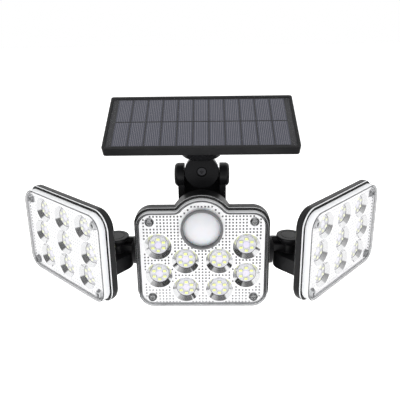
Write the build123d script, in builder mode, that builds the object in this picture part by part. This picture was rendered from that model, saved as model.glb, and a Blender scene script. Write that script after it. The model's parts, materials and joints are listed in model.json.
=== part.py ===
from build123d import *
import os
from collections import namedtuple
from math import asin, cos, degrees, radians, sin

# Solar wall light: a main lamp head with a motion sensor, two side heads on swivel arms, and a tilting panel.
# Frame: +X to the right of someone facing the lamp, +Y into the wall, +Z up.
# The origin lies on the wall, at the middle of the wall bracket's back face.
# Depths are measured backwards from a head's cover face.

# Layout
face_to_wall = 78.0
arm_reach = 21.2
pivot_depth = 24.0
side_head_rise = 23.0
side_head_reach = 52.5
side_head_shift = 15.0
left_head_angle = 40.0
right_head_angle = 45.5

# Lamp heads
main_width = 129.6
main_height = 104.4
main_middle = 1.0
main_back = 16.5
side_width = 126.0
side_height = 88.9
side_middle = 0.8
side_back = 15.5
head_corner = 17.0
dome_radius = 31.0
dome_blend = 3.0
dome_back = 23.5
sensor_height = 34.6
housing_wall = 2.4
back_round = 3.0
rim_round = 0.5

# Cover screws and LED rings: insets from the edges of a head, and shares of its width and height
main_screw_inset = 15.3
main_screw_top_inset = 12.7
main_screw_bottom_inset = 11.9
main_outer_share = 0.327
main_inner_share = 0.126
main_pitch_share = 0.2945
main_ring_rise = -1.4
side_screw_inset = 12.5
side_screw_top_inset = 12.25
side_screw_bottom_inset = 10.65
side_ring_share = 0.254
side_wide_share = 0.3015
side_pitch_share = 0.27
side_ring_rise = 0.2

# Cover and seal
cover_rise = 6.8
cover_wall = 1.8
flange_thick = 1.3
flange_width = 2.5
face_round = 2.0
seal_thick = 0.8
seal_inset = 0.8
seal_width = 1.2
post_radius = 4.0

# Reflector, board and LEDs
inner_inset = 5.4
reflector_depth = 3.4
reflector_sheet = 1.0
main_cup_floor = 9.2
main_cup_mouth = 13.2
side_cup_floor = 8.6
side_cup_mouth = 12.2
cup_wall = 0.9
board_depth = 7.2
board_thick = 1.2
chip_width = 3.5
chip_height = 2.8
chip_thick = 0.7
chip_ring = 6.0
chips_per_ring = 6

# Fasteners and fits
screw_radius = 1.5
screw_head_radius = 2.8
screw_head_height = 2.0
cover_screw_seat = 3.2
cross_length = 3.4
cross_width = 0.9
cross_depth = 1.1
bolt_radius = 3.0
bolt_head_radius = 5.4
bolt_head_height = 4.0
screw_gap = 0.1
running_gap = 0.08
loose_gap = 0.3

# Motion sensor
lens_radius = 17.6
lens_wall = 1.2
lens_edge_depth = 1.5
lens_bulge = 4.5
lens_flange_radius = 20.2
lens_flange_back = 3.2
ring_outer = 20.0
ring_rise = 3.2
sensor_can_radius = 4.6
sensor_can_height = 4.2

# Rear box of the main housing
box_top = 30.0
box_bottom = -28.0
box_depth = 58.0
box_corner = 6.0
window_height = 34.0
rear_cover_thick = 3.0
rear_screw_edge = 6.5
rear_screw_inset = 7.0

# Wall bracket
bracket_half = 24.0
bracket_height = 76.0
bracket_sheet = 3.0
bracket_ear = 14.0
wall_hole_pitch = 56.0
wall_hole_radius = 2.6
bracket_screw_pitch = 40.0

# Electronics
battery_radius = 9.2
battery_length = 65.0
battery_depth = 42.0
battery_rise = 4.0
battery_tip_radius = 3.0
battery_tip = 1.2
holder_end = 3.0
holder_front = 46.0
circuit_width = 64.0
circuit_front = 29.0
circuit_back = 55.0
circuit_thick = 1.6
circuit_post_radius = 2.5
circuit_post_inset = 4.0
button_depth = 42.0
button_radius = 5.0
button_proud = 1.8
button_travel = 1.2
button_flange = 6.5
button_flange_thick = 1.0
switch_side = 6.0
switch_height = 2.0
plunger_radius = 1.6
plunger_height = 0.6

# Panel post and hinge
tilt_depth = 49.5
tilt_height = 72.5
ear_radius = 12.0
ear_inner = 17.6
ear_outer = 27.5
ear_round = 4.0
ear_taper_top = 66.0
ear_taper_bottom = 60.0
leg_outer = 24.0
leg_depth = 17.0
bridge_top = 52.0
post_wall = 2.6
web_top = 66.0
web_front = 57.0
web_back = 60.5
post_roof = 5.0
post_screw_x = 15.0
post_boss_radius = 3.6
block_radius = 7.0
hub_radius = 9.0
hub_back = 53.0
disc_radius = 16.6
disc_height = 79.8
disc_front = 34.0
disc_thick = 8.0
roll_screw_radius = 2.5
roll_head_radius = 4.7
roll_head_height = 2.6
roll_seat = 3.4
neck_width = 19.0
neck_depth = 7.0
neck_top = 105.0

# Solar panel
panel_width = 180.0
panel_length = 71.0
panel_thick = 10.0
panel_angle = 32.5
panel_depth = 35.0
panel_height = 130.5
panel_corner = 2.5
panel_floor = 2.4
panel_recess = 2.4
panel_rim = 2.6
panel_ledge = 3.0
backing_thick = 1.0
cell_thick = 0.4
sheet_thick = 0.8
cell_columns = 11
cell_rows = 2
cell_gap = 0.7
cell_margin_x = 5.2
cell_margin_y = 1.0
boss_from_front = 17.2
boss_drop = 15.0
boss_half_x = 22.0
boss_half_y = 14.0
boss_foot_x = 19.5
boss_foot_y = 12.0
boss_foot_round = 2.5
boss_screw_x = 14.0

# Side arms
swivel_height = 1.3
swivel_disc_radius = 13.4
swivel_disc_thick = 3.5
swivel_hub_radius = 9.0
swivel_hub_length = 5.3
swivel_bolt_reach = 5.0
bar_front = 4.0
bar_back = 6.5
bar_bottom = 0.8
bar_ledge = 8.9
bar_top = 13.8
bar_rib = 5.0
bar_corner = 1.2
barrel_radius = 7.2
barrel_shoulder = 8.4
mushroom_radius = 12.2
barrel_top = 14.9
cap_radius = 12.6
cap_top = 17.2
cap_round = 0.8
cap_groove_radius = 8.6
cap_groove_width = 0.7
cap_groove_depth = 0.5
knuckle_radius = 15.3
knuckle_bottom = -15.0
knuckle_bite = 1.0
washer_radius = 7.0
pivot_bolt_top = 11.0

# Grommets for the panel lead
grommet_radius = 4.5
grommet_lip_radius = 6.5
grommet_lip = 1.5
grommet_bore = 1.8
grommet_inset = 23.5
body_grommet_depth = 46.0

# Levels that follow from the sizes above
flange_back = cover_rise + flange_thick
housing_front = flange_back + seal_thick
pivot_y = pivot_depth - face_to_wall
tilt_y = tilt_depth - face_to_wall
box_height = box_top - box_bottom
box_middle = (box_top + box_bottom) / 2
floor_top = box_bottom + housing_wall
button_top = floor_top + screw_gap + button_flange_thick
circuit_bottom = button_top + button_travel + screw_gap + plunger_height + switch_height
side_x = main_width / 2
pivot_x = side_x + arm_reach
rear_screw_x = side_x - rear_screw_edge
grommet_x = grommet_inset - side_x
rear_face_depth = box_depth + rear_cover_thick
rear_screw_rows = (box_top - rear_screw_inset, box_bottom + rear_screw_inset)
rear_screws = [(x, z) for x in (-rear_screw_x, rear_screw_x) for z in rear_screw_rows]
bracket_wall_x = bracket_half - bracket_sheet / 2
bracket_screw_x = bracket_half + bracket_ear / 2
bracket_screw_rows = (-bracket_screw_pitch / 2, bracket_screw_pitch / 2)
bracket_screws_at = [(x, z) for x in (-bracket_screw_x, bracket_screw_x) for z in bracket_screw_rows]
post_screws_at = [(-post_screw_x, 0), (post_screw_x, 0)]
panel_front_edge = -panel_length / 2
up = (0, 0, 1)
front = (0, -1, 0)
back = (0, 1, 0)

Head = namedtuple("Head", "name plane width height middle back screws clusters cup_floor cup_mouth dome")


def turned_plane(origin, turn):
    """Plane of a cover face: x along the head's width, y up, normal out of the face."""
    angle = radians(turn)
    return Plane(origin, x_dir=(cos(angle), sin(angle), 0), z_dir=(sin(angle), -cos(angle), 0))


def side_plane(side, turn):
    """Cover face of a side head, set out from its pivot; side is -1 on the left and 1 on the right."""
    angle = radians(side * turn)
    across = side * side_head_shift
    x = side * pivot_x + across * cos(angle) + side_head_reach * sin(angle)
    y = pivot_y + across * sin(angle) - side_head_reach * cos(angle)
    return turned_plane((x, y, side_head_rise), side * turn)


def mirrored(offset, heights):
    """Points at the same distance left and right of a head's middle, at each height."""
    return [(x, z) for x in (-offset, offset) for z in heights]


def screw_heights(middle, height, top_inset, bottom_inset):
    """Heights of the upper and lower cover screws, from the edges of the head."""
    return (middle + height / 2 - top_inset, middle - height / 2 + bottom_inset)


main_pitch = main_height * main_pitch_share
main_screw_heights = screw_heights(main_middle, main_height, main_screw_top_inset, main_screw_bottom_inset)
main_screws = mirrored(main_width / 2 - main_screw_inset, main_screw_heights)
main_row = main_middle + main_ring_rise
main_clusters = mirrored(main_width * main_outer_share, (main_row + main_pitch / 2, main_row - main_pitch / 2))
main_clusters += mirrored(main_width * main_inner_share, (main_row, main_row - main_pitch))
side_pitch = side_height * side_pitch_share
side_row = side_middle + side_ring_rise
side_screw_heights = screw_heights(side_middle, side_height, side_screw_top_inset, side_screw_bottom_inset)
side_screws = mirrored(side_width / 2 - side_screw_inset, side_screw_heights)
side_clusters = mirrored(side_width * side_ring_share, (side_row + side_pitch, side_row - side_pitch))
side_clusters += mirrored(side_width * side_wide_share, (side_row,))
side_clusters += [(0, side_row + step * side_pitch) for step in (-1, 0, 1)]

main_head = Head("main", turned_plane((0, -face_to_wall, 0), 0), main_width, main_height, main_middle,
                 main_back, main_screws, main_clusters, main_cup_floor, main_cup_mouth, True)
left_head = Head("left", side_plane(-1, left_head_angle), side_width, side_height, side_middle,
                 side_back, side_screws, side_clusters, side_cup_floor, side_cup_mouth, False)
right_head = Head("right", side_plane(1, right_head_angle), side_width, side_height, side_middle,
                  side_back, side_screws, side_clusters, side_cup_floor, side_cup_mouth, False)
main_plane = main_head.plane


def keep(builder, name):
    """Label a finished piece and write it out under its own name."""
    builder.part.label = name
    export_step(builder.part, f"parts/{name}.step")


def at(head, depth):
    """Plane of a head at a depth behind its cover face, facing the front."""
    return head.plane.offset(-depth)


def facing(head):
    """Axis along which a head's faces are sorted from back to front."""
    return Axis((0, 0, 0), head.plane.z_dir)


def outline(head, inset=0.0):
    """Front outline of a lamp head, drawn in by the given amount."""
    with BuildSketch() as shape:
        with Locations((0, head.middle)):
            RectangleRounded(head.width - 2 * inset, head.height - 2 * inset, head_corner - inset)
        if head.dome:
            with Locations((0, sensor_height)):
                Circle(dome_radius - inset)
            top = head.middle + head.height / 2 - inset
            feet = [v for v in shape.vertices() if abs(v.Y - top) < screw_gap and abs(v.X) < dome_radius]
            fillet(feet, dome_blend + inset)
    return shape.sketch


def make_cover(head):
    """Clear cover: a flange, a raised face with rounded edges, and a screw post in each corner."""
    with BuildPart() as cover:
        with BuildSketch(at(head, flange_back)):
            add(outline(head))
        extrude(amount=flange_thick)
        with BuildSketch(at(head, flange_back)):
            add(outline(head, flange_width))
        extrude(amount=flange_back)
        face = cover.faces().sort_by(facing(head))[-1]
        fillet(face.outer_wire().edges(), face_round)
        with BuildSketch(at(head, flange_back)):
            add(outline(head, flange_width + cover_wall))
        extrude(amount=flange_back - cover_wall, mode=Mode.SUBTRACT)
        with BuildSketch(at(head, flange_back)):
            with Locations(*head.screws):
                Circle(post_radius)
        extrude(amount=flange_back - cover_wall)
        with BuildSketch(head.plane):
            with Locations(*head.screws):
                Circle(screw_head_radius + loose_gap)
        extrude(amount=-cover_screw_seat, mode=Mode.SUBTRACT)
        with BuildSketch(head.plane):
            with Locations(*head.screws):
                Circle(screw_radius + screw_gap)
        extrude(amount=-flange_back, mode=Mode.SUBTRACT)
        if head.dome:
            with BuildSketch(head.plane):
                with Locations((0, sensor_height)):
                    Circle(lens_radius + 2 * loose_gap + cover_wall / 2)
            extrude(amount=-cover_wall, mode=Mode.SUBTRACT)
    keep(cover, f"{head.name}_cover")


def make_seal(head):
    """Rubber seal squeezed between the cover flange and the housing rim."""
    with BuildPart() as seal:
        with BuildSketch(at(head, housing_front)):
            add(outline(head, seal_inset))
            add(outline(head, seal_inset + seal_width), mode=Mode.SUBTRACT)
        extrude(amount=seal_thick)
    keep(seal, f"{head.name}_seal")


def make_reflector(head):
    """Silvered reflector: a sheet on a skirt, with a cup over each ring of LEDs."""
    with BuildPart() as reflector:
        with BuildSketch(at(head, board_depth)):
            add(outline(head, inner_inset))
        extrude(amount=board_depth - reflector_depth)
        with BuildSketch(at(head, board_depth)):
            add(outline(head, inner_inset + reflector_sheet))
        extrude(amount=board_depth - reflector_depth - reflector_sheet, mode=Mode.SUBTRACT)
        cup_height = board_depth - reflector_depth
        foot = (Align.CENTER, Align.CENTER, Align.MIN)
        with Locations(*[at(head, board_depth) * Pos(x, z, 0) for x, z in head.clusters]):
            Cone(head.cup_floor + cup_wall, head.cup_mouth + cup_wall, cup_height, align=foot)
        with Locations(*[at(head, board_depth) * Pos(x, z, 0) for x, z in head.clusters]):
            Cone(head.cup_floor, head.cup_mouth, cup_height, align=foot, mode=Mode.SUBTRACT)
        with BuildSketch(at(head, reflector_depth)):
            with Locations(*head.screws):
                Circle(post_radius + screw_gap + loose_gap)
            if head.dome:
                with Locations((0, sensor_height)):
                    Circle(ring_outer)
        extrude(amount=-cup_height, mode=Mode.SUBTRACT)
    keep(reflector, f"{head.name}_reflector")


def make_board(head):
    """LED board, notched round the screw posts."""
    with BuildPart() as board:
        with BuildSketch(at(head, board_depth)):
            add(outline(head, inner_inset))
            with Locations(*head.screws):
                Circle(post_radius + screw_gap + loose_gap, mode=Mode.SUBTRACT)
        extrude(amount=-board_thick)
    keep(board, f"{head.name}_led_board")


def make_chips(head):
    """LED chips, in a ring of six at the bottom of each cup."""
    with BuildPart() as chips:
        with BuildSketch(at(head, board_depth)):
            for cluster in head.clusters:
                with Locations(cluster):
                    with PolarLocations(chip_ring, chips_per_ring, start_angle=90, rotate=False):
                        Rectangle(chip_width, chip_height)
        extrude(amount=chip_thick)
    keep(chips, f"{head.name}_led_chips")


def cross_screw(plane, head_radius, head_height, radius, length):
    """Pan-head screw whose seat is on the plane, head towards its normal, with a cross recess."""
    with BuildPart(mode=Mode.PRIVATE) as screw:
        with BuildSketch(plane):
            Circle(head_radius)
        extrude(amount=head_height)
        rims = screw.edges().filter_by(GeomType.CIRCLE).sort_by(Axis((0, 0, 0), plane.z_dir))
        fillet(rims[-1], head_height / 3)
        with BuildSketch(plane.offset(head_height)):
            Rectangle(cross_length, cross_width)
            Rectangle(cross_width, cross_length)
        extrude(amount=-cross_depth, mode=Mode.SUBTRACT)
        with BuildSketch(plane):
            Circle(radius)
        extrude(amount=-length)
    return screw.part


def make_screws(name, seats, length):
    """A set of equal screws, one on each seat plane, as separate solids in one piece of the set."""
    with BuildPart() as screws:
        for seat in seats:
            add(cross_screw(seat, screw_head_radius, screw_head_height, screw_radius, length))
    keep(screws, name)


def make_cover_screws(head):
    """The four screws that hold a cover on its housing."""
    seats = [at(head, cover_screw_seat) * Pos(x, z, 0) for x, z in head.screws]
    length = head.back - housing_wall - cover_screw_seat - screw_head_height
    make_screws(f"{head.name}_cover_screws", [Plane(seat) for seat in seats], length)


def make_side_housing(head, side):
    """Housing of a side head: a tub with a rear knuckle that turns on the arm's pivot bolt."""
    floor_depth = head.back - housing_wall
    knuckle_reach = side_head_reach - head.back + knuckle_bite
    pivot = Plane((side * pivot_x, pivot_y, knuckle_bottom), x_dir=head.plane.x_dir, z_dir=up)
    with BuildPart() as housing:
        with BuildSketch(at(head, head.back)):
            add(outline(head))
        extrude(amount=head.back - housing_front)
        fillet(housing.faces().sort_by(facing(head))[0].outer_wire().edges(), back_round)
        fillet(housing.faces().sort_by(facing(head))[-1].outer_wire().edges(), rim_round)
        with BuildSketch(at(head, floor_depth)):
            add(outline(head, housing_wall))
        extrude(amount=floor_depth - housing_front, mode=Mode.SUBTRACT)
        with BuildSketch(at(head, floor_depth)):
            with Locations(*head.screws):
                Circle(post_radius)
        extrude(amount=floor_depth - housing_front)
        with BuildSketch(at(head, floor_depth)):
            with GridLocations(head.width / 2, head.height / 3, 2, 2):
                Circle(post_radius)
        extrude(amount=floor_depth - board_depth - board_thick)
        with BuildSketch(at(head, housing_front)):
            with Locations(*head.screws):
                Circle(screw_radius + screw_gap)
        extrude(amount=housing_front - floor_depth, mode=Mode.SUBTRACT)
        with BuildSketch(pivot):
            Circle(knuckle_radius)
            Rectangle(2 * knuckle_radius, knuckle_reach, align=(Align.CENTER, Align.MAX))
        extrude(amount=-knuckle_bottom)
        with BuildSketch(pivot):
            Circle(bolt_radius + running_gap)
        extrude(amount=-knuckle_bottom, mode=Mode.SUBTRACT)
        with BuildSketch(pivot):
            Circle(bolt_head_radius + loose_gap)
        extrude(amount=bolt_head_height + 2 * loose_gap, mode=Mode.SUBTRACT)
    keep(housing, f"{head.name}_housing")


def make_main_housing():
    """Main housing: an arched tub in front, a dome behind the sensor, and a box behind them through a window."""
    head = main_head
    floor_depth = head.back - housing_wall
    swivel = Plane((side_x, pivot_y, swivel_height), x_dir=back, z_dir=(1, 0, 0))
    with BuildPart() as housing:
        with BuildSketch(at(head, head.back)):
            add(outline(head))
        extrude(amount=head.back - housing_front)
        fillet(housing.faces().sort_by(facing(head))[-1].outer_wire().edges(), rim_round)
        with BuildSketch(at(head, dome_back)):
            with Locations((0, sensor_height)):
                Circle(dome_radius)
        extrude(amount=dome_back - head.back)
        with BuildSketch(at(head, box_depth)):
            with Locations((0, box_middle)):
                RectangleRounded(main_width, box_height, box_corner)
        extrude(amount=box_depth - head.back)
        with BuildSketch(at(head, floor_depth)):
            add(outline(head, housing_wall))
        extrude(amount=floor_depth - housing_front, mode=Mode.SUBTRACT)
        with BuildSketch(at(head, box_depth)):
            with Locations((0, box_middle)):
                RectangleRounded(main_width - 2 * housing_wall, box_height - 2 * housing_wall,
                                 box_corner - housing_wall)
        extrude(amount=box_depth - head.back, mode=Mode.SUBTRACT)
        with BuildSketch(at(head, dome_back - housing_wall)):
            with Locations((0, sensor_height)):
                Circle(dome_radius - housing_wall)
        extrude(amount=dome_back - housing_wall - floor_depth, mode=Mode.SUBTRACT)
        with BuildSketch(at(head, head.back)):
            with Locations((0, swivel_height)):
                Rectangle(main_width - 2 * housing_wall, window_height)
        extrude(amount=housing_wall, mode=Mode.SUBTRACT)
        with BuildSketch(at(head, floor_depth)):
            with Locations(*head.screws):
                Circle(post_radius)
        extrude(amount=floor_depth - housing_front)
        with BuildSketch(at(head, floor_depth)):
            with Locations((0, swivel_height)):
                with GridLocations(head.width / 2, head.height / 2, 2, 2):
                    Circle(post_radius)
        extrude(amount=floor_depth - board_depth - board_thick)
        with BuildSketch(at(head, box_depth)):
            with Locations(*rear_screws):
                Circle(post_radius)
        extrude(amount=box_depth - head.back)
        with BuildSketch(at(head, box_depth)):
            with Locations(*rear_screws):
                Circle(screw_radius + screw_gap)
        extrude(amount=(box_depth - head.back) / 2, mode=Mode.SUBTRACT)
        with BuildSketch(at(head, housing_front)):
            with Locations(*head.screws):
                Circle(screw_radius + screw_gap)
        extrude(amount=housing_front - floor_depth, mode=Mode.SUBTRACT)
        for plane in (swivel, swivel.offset(housing_wall - main_width)):
            with BuildSketch(plane):
                Circle(bolt_radius + running_gap)
            extrude(amount=-housing_wall, mode=Mode.SUBTRACT)
        circuit_posts = Plane((0, (circuit_front + circuit_back) / 2 - face_to_wall, floor_top))
        with BuildSketch(circuit_posts):
            with GridLocations(circuit_width - 2 * circuit_post_inset,
                               circuit_back - circuit_front - 2 * circuit_post_inset, 2, 2):
                Circle(circuit_post_radius)
        extrude(amount=circuit_bottom - floor_top)
        with BuildSketch(Plane((0, button_depth - face_to_wall, box_bottom))):
            Circle(button_radius + running_gap)
        extrude(amount=housing_wall, mode=Mode.SUBTRACT)
        with BuildSketch(Plane((grommet_x, body_grommet_depth - face_to_wall, box_top))):
            Circle(grommet_radius + screw_gap)
        extrude(amount=-housing_wall, mode=Mode.SUBTRACT)
        with BuildSketch(Plane((0, tilt_y, box_top))):
            with Locations(*post_screws_at):
                Circle(screw_radius + screw_gap)
        extrude(amount=-housing_wall, mode=Mode.SUBTRACT)
    keep(housing, "main_housing")


def make_rear_parts():
    """Rear cover of the box with its screws, and the hat-shaped bracket that stands it off the wall."""
    with BuildPart() as cover:
        with BuildSketch(at(main_head, rear_face_depth)):
            with Locations((0, box_middle)):
                RectangleRounded(main_width, box_height, box_corner)
            with Locations(*rear_screws):
                Circle(screw_radius + screw_gap, mode=Mode.SUBTRACT)
            with Locations(*bracket_screws_at):
                Circle(screw_radius + screw_gap, mode=Mode.SUBTRACT)
        extrude(amount=rear_cover_thick)
    keep(cover, "rear_cover")
    outward = Plane((0, rear_face_depth - face_to_wall, 0), x_dir=(-1, 0, 0), z_dir=back)
    seats = [Plane(outward * Pos(-x, z, 0)) for x, z in rear_screws]
    make_screws("rear_cover_screws", seats, (box_depth - main_back) / 2)
    with BuildPart() as bracket:
        with BuildSketch(at(main_head, face_to_wall)):
            RectangleRounded(2 * bracket_half, bracket_height, bracket_sheet)
            with Locations((0, wall_hole_pitch / 2), (0, -wall_hole_pitch / 2)):
                Circle(wall_hole_radius, mode=Mode.SUBTRACT)
        extrude(amount=bracket_sheet)
        with BuildSketch(at(main_head, face_to_wall)):
            with Locations((-bracket_wall_x, 0), (bracket_wall_x, 0)):
                Rectangle(bracket_sheet, box_height - 2 * box_corner)
        extrude(amount=face_to_wall - rear_face_depth)
        with BuildSketch(at(main_head, rear_face_depth + bracket_sheet)):
            with Locations((-bracket_screw_x, 0), (bracket_screw_x, 0)):
                Rectangle(bracket_ear, box_height - 2 * box_corner)
            with Locations(*bracket_screws_at):
                Circle(screw_radius + screw_gap, mode=Mode.SUBTRACT)
        extrude(amount=bracket_sheet)
    keep(bracket, "wall_bracket")
    ear_back = outward.offset(bracket_sheet)
    seats = [Plane(ear_back * Pos(-x, z, 0)) for x, z in bracket_screws_at]
    make_screws("bracket_screws", seats, bracket_sheet + rear_cover_thick)


def make_sensor():
    """Motion sensor: trim ring, frosted lens dome and the sensor can on the board behind it."""
    middle = main_plane * Pos(0, sensor_height, 0)
    axis = Axis(middle.position, front)
    profile = Plane(middle.position, x_dir=(1, 0, 0), z_dir=(0, 0, -1))
    hole = lens_radius + 2 * loose_gap + cover_wall / 2
    with BuildPart() as ring:
        with BuildSketch(main_plane):
            with Locations((0, sensor_height)):
                Circle(ring_outer)
        extrude(amount=ring_rise)
        fillet(ring.edges().filter_by(GeomType.CIRCLE).sort_by(axis)[-1], ring_rise / 3)
        with BuildSketch(main_plane):
            with Locations((0, sensor_height)):
                Circle(hole - screw_gap)
        extrude(amount=-cover_wall)
        with BuildSketch(main_plane.offset(ring_rise)):
            with Locations((0, sensor_height)):
                Circle(lens_radius + loose_gap)
        extrude(amount=-ring_rise - cover_wall, mode=Mode.SUBTRACT)
    keep(ring, "sensor_ring")
    sphere = (lens_radius ** 2 + lens_bulge ** 2) / (2 * lens_bulge)
    inside = sphere - lens_wall
    bore = lens_radius - lens_wall
    centre = (0, lens_bulge - lens_edge_depth - sphere)
    outer_sweep = degrees(asin(lens_radius / sphere))
    inner_sweep = degrees(asin(bore / inside))
    flange_front = -cover_wall - screw_gap
    with BuildPart() as lens:
        with BuildSketch(profile):
            with BuildLine():
                outer = CenterArc(centre, sphere, 90 - outer_sweep, outer_sweep)
                inner = CenterArc(centre, inside, 90 - inner_sweep, inner_sweep)
                Polyline(outer @ 0, (lens_radius, flange_front), (lens_flange_radius, flange_front),
                         (lens_flange_radius, -lens_flange_back), (bore, -lens_flange_back), inner @ 0)
                Line(inner @ 1, outer @ 1)
            make_face()
        revolve(axis=axis)
    keep(lens, "sensor_lens")
    with BuildPart() as can:
        with BuildSketch(at(main_head, board_depth)):
            with Locations((0, sensor_height)):
                Circle(sensor_can_radius)
        extrude(amount=sensor_can_height)
        fillet(can.edges().filter_by(GeomType.CIRCLE).sort_by(axis)[-1], chip_thick)
    keep(can, "sensor_can")


def make_electronics():
    """Battery cell and holder, control board with its switch, and the mode button under the box."""
    cell_axis = Plane((0, battery_depth - face_to_wall, battery_rise), x_dir=back, z_dir=(1, 0, 0))
    half = battery_length / 2
    with BuildPart() as cell:
        with BuildSketch(cell_axis.offset(-half)):
            Circle(battery_radius)
        extrude(amount=battery_length - battery_tip)
        with BuildSketch(cell_axis.offset(half - battery_tip)):
            Circle(battery_tip_radius)
        extrude(amount=battery_tip)
    keep(cell, "battery_cell")
    holder_length = battery_length + 2 * holder_end + 2 * screw_gap
    holder_section = cell_axis.offset(-holder_length / 2)
    with BuildPart() as holder:
        with BuildSketch(holder_section):
            with Locations((box_depth - battery_depth, 0)):
                Rectangle(box_depth - battery_depth + battery_radius, 2 * battery_radius,
                          align=(Align.MAX, Align.CENTER))
        extrude(amount=holder_length)
        with BuildSketch(cell_axis.offset(-half - screw_gap)):
            Circle(battery_radius + screw_gap)
            with Locations((holder_front - battery_depth, 0)):
                Rectangle(2 * battery_radius + holder_front, 2 * battery_radius,
                          align=(Align.MAX, Align.CENTER))
        extrude(amount=battery_length + 2 * screw_gap, mode=Mode.SUBTRACT)
    keep(holder, "battery_holder")
    with BuildPart() as circuit:
        with BuildSketch(Plane((0, (circuit_front + circuit_back) / 2 - face_to_wall, circuit_bottom))):
            Rectangle(circuit_width, circuit_back - circuit_front)
        extrude(amount=circuit_thick)
    keep(circuit, "control_board")
    under_circuit = Plane((0, button_depth - face_to_wall, circuit_bottom), x_dir=(1, 0, 0), z_dir=(0, 0, -1))
    with BuildPart() as switch:
        with BuildSketch(under_circuit):
            Rectangle(switch_side, switch_side)
        extrude(amount=switch_height)
        with BuildSketch(under_circuit.offset(switch_height)):
            Circle(plunger_radius)
        extrude(amount=plunger_height)
    keep(switch, "mode_switch")
    with BuildPart() as button:
        with BuildSketch(Plane((0, button_depth - face_to_wall, box_bottom - button_proud))):
            Circle(button_radius)
        extrude(amount=button_top - box_bottom + button_proud)
        fillet(button.edges().filter_by(GeomType.CIRCLE).sort_by(Axis.Z)[0], chip_thick)
        with BuildSketch(Plane((0, button_depth - face_to_wall, floor_top + screw_gap))):
            Circle(button_flange)
        extrude(amount=button_flange_thick)
    keep(button, "mode_button")
    with BuildPart() as boot:
        with BuildSketch(Plane((0, button_depth - face_to_wall, box_bottom))):
            Circle(button_flange + cover_wall)
            Circle(button_radius + loose_gap, mode=Mode.SUBTRACT)
        extrude(amount=-seal_thick)
    keep(boot, "button_seal")


def make_grommet(name, plane, wall):
    """Rubber grommet in a wall, its lip on the plane, with a blind hole for the lead."""
    with BuildPart() as grommet:
        with BuildSketch(plane):
            Circle(grommet_lip_radius)
        extrude(amount=grommet_lip)
        with BuildSketch(plane):
            Circle(grommet_radius)
        extrude(amount=-wall)
        with BuildSketch(plane.offset(grommet_lip)):
            Circle(grommet_bore)
        extrude(amount=-grommet_lip - wall / 2, mode=Mode.SUBTRACT)
    keep(grommet, name)


def make_post():
    """Fork post on the box with two rounded ears, its screws, and the tilt bolt and nut through the ears."""
    side_view = Plane((0, tilt_y, tilt_height), x_dir=back, z_dir=(1, 0, 0))
    base = Plane((0, tilt_y, box_top))
    with BuildPart() as post:
        with BuildSketch(base):
            RectangleRounded(2 * leg_outer, leg_depth, post_wall)
        extrude(amount=bridge_top - box_top)
        for side in (-1, 1):
            leg = Plane((side * ear_inner, tilt_y, tilt_height), x_dir=back, z_dir=(side, 0, 0))
            with BuildSketch(leg):
                Circle(ear_radius)
            extrude(amount=ear_outer - ear_inner)
            rim = post.edges().filter_by(GeomType.CIRCLE).sort_by(Axis.X)
            fillet(rim[-1] if side > 0 else rim[0], ear_round)
            with BuildSketch(Plane((side * (ear_inner + leg_outer) / 2, tilt_y, box_top))):
                Rectangle(leg_outer - ear_inner, leg_depth)
            extrude(amount=tilt_height - box_top)
            with BuildSketch(Plane.XZ.offset(-tilt_y)):
                Polygon((side * ear_outer, ear_taper_top), (side * ear_outer, ear_taper_bottom - post_wall),
                        (side * leg_outer, ear_taper_bottom - post_wall), (side * leg_outer, ear_taper_bottom),
                        align=None)
            extrude(amount=ear_radius, both=True, mode=Mode.SUBTRACT)
        with BuildSketch(at(main_head, web_back)):
            with Locations((0, box_top)):
                Rectangle(2 * leg_outer, web_top - box_top, align=(Align.CENTER, Align.MIN))
        extrude(amount=web_back - web_front)
        with BuildSketch(base):
            RectangleRounded(2 * (leg_outer - post_wall), leg_depth - 2 * post_wall, post_wall / 2)
        extrude(amount=bridge_top - box_top - post_roof, mode=Mode.SUBTRACT)
        with BuildSketch(base):
            with Locations(*post_screws_at):
                Circle(post_boss_radius)
        extrude(amount=bridge_top - box_top - post_roof)
        with BuildSketch(base):
            with Locations(*post_screws_at):
                Circle(screw_radius + screw_gap)
        extrude(amount=bridge_top - box_top - post_roof, mode=Mode.SUBTRACT)
        with BuildSketch(side_view.offset(-ear_outer)):
            Circle(bolt_radius + screw_gap)
        extrude(amount=2 * ear_outer, mode=Mode.SUBTRACT)
        for plane in (side_view.offset(-ear_outer), side_view.offset(ear_outer - bolt_head_height)):
            with BuildSketch(plane):
                Circle(bolt_head_radius + screw_gap)
            extrude(amount=bolt_head_height, mode=Mode.SUBTRACT)
    keep(post, "panel_post")
    inside_box = Plane((0, tilt_y, box_top - housing_wall), x_dir=(1, 0, 0), z_dir=(0, 0, -1))
    seats = [Plane(inside_box * Pos(x, y, 0)) for x, y in post_screws_at]
    make_screws("post_screws", seats, bridge_top - box_top - post_roof)
    inside = ear_outer - bolt_head_height
    with BuildPart() as bolt:
        with BuildSketch(side_view.offset(-inside)):
            Circle(bolt_head_radius)
        extrude(amount=-bolt_head_height + loose_gap)
        with BuildSketch(side_view.offset(-inside)):
            Circle(bolt_radius)
        extrude(amount=2 * inside + bolt_head_height - loose_gap)
    keep(bolt, "tilt_bolt")
    with BuildPart() as nut:
        with BuildSketch(side_view.offset(inside)):
            RegularPolygon(bolt_head_radius, 6)
            Circle(bolt_radius + screw_gap, mode=Mode.SUBTRACT)
        extrude(amount=bolt_head_height - loose_gap)
    keep(nut, "tilt_nut")
    return side_view


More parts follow.
